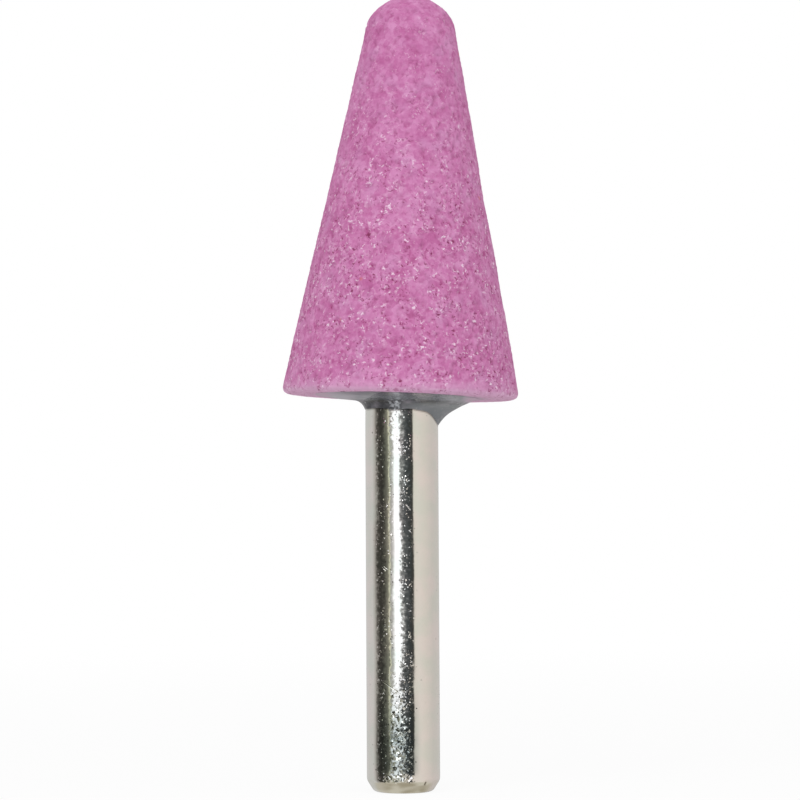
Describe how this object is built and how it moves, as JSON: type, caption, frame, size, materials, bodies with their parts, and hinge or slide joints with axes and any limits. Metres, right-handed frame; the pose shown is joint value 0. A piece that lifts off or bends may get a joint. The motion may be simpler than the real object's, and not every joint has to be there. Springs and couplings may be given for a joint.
{
  "type": "mounted point",
  "caption": "Tapered abrasive stone with a round nose, cemented onto a plain straight steel shank that a rotary grinder's collet grips.",
  "frame": {"origin": "centre of the shank's free end face", "axes": "+Z along the shank towards the stone's nose, +X the way the stone leans and the cement has run"},
  "size_m": [0.0194, 0.0194, 0.0655],
  "materials": {
    "abrasive": "pink bonded grit, open and matte, with fine glints",
    "plated_steel": "bright plating, finely pitted and scratched",
    "cement": "dark grey filled resin, satin"
  },
  "bodies": {
    "root": {"grinding_stone": "abrasive", "shank": "plated_steel", "cement": "cement"}
  },
  "joints": []
}
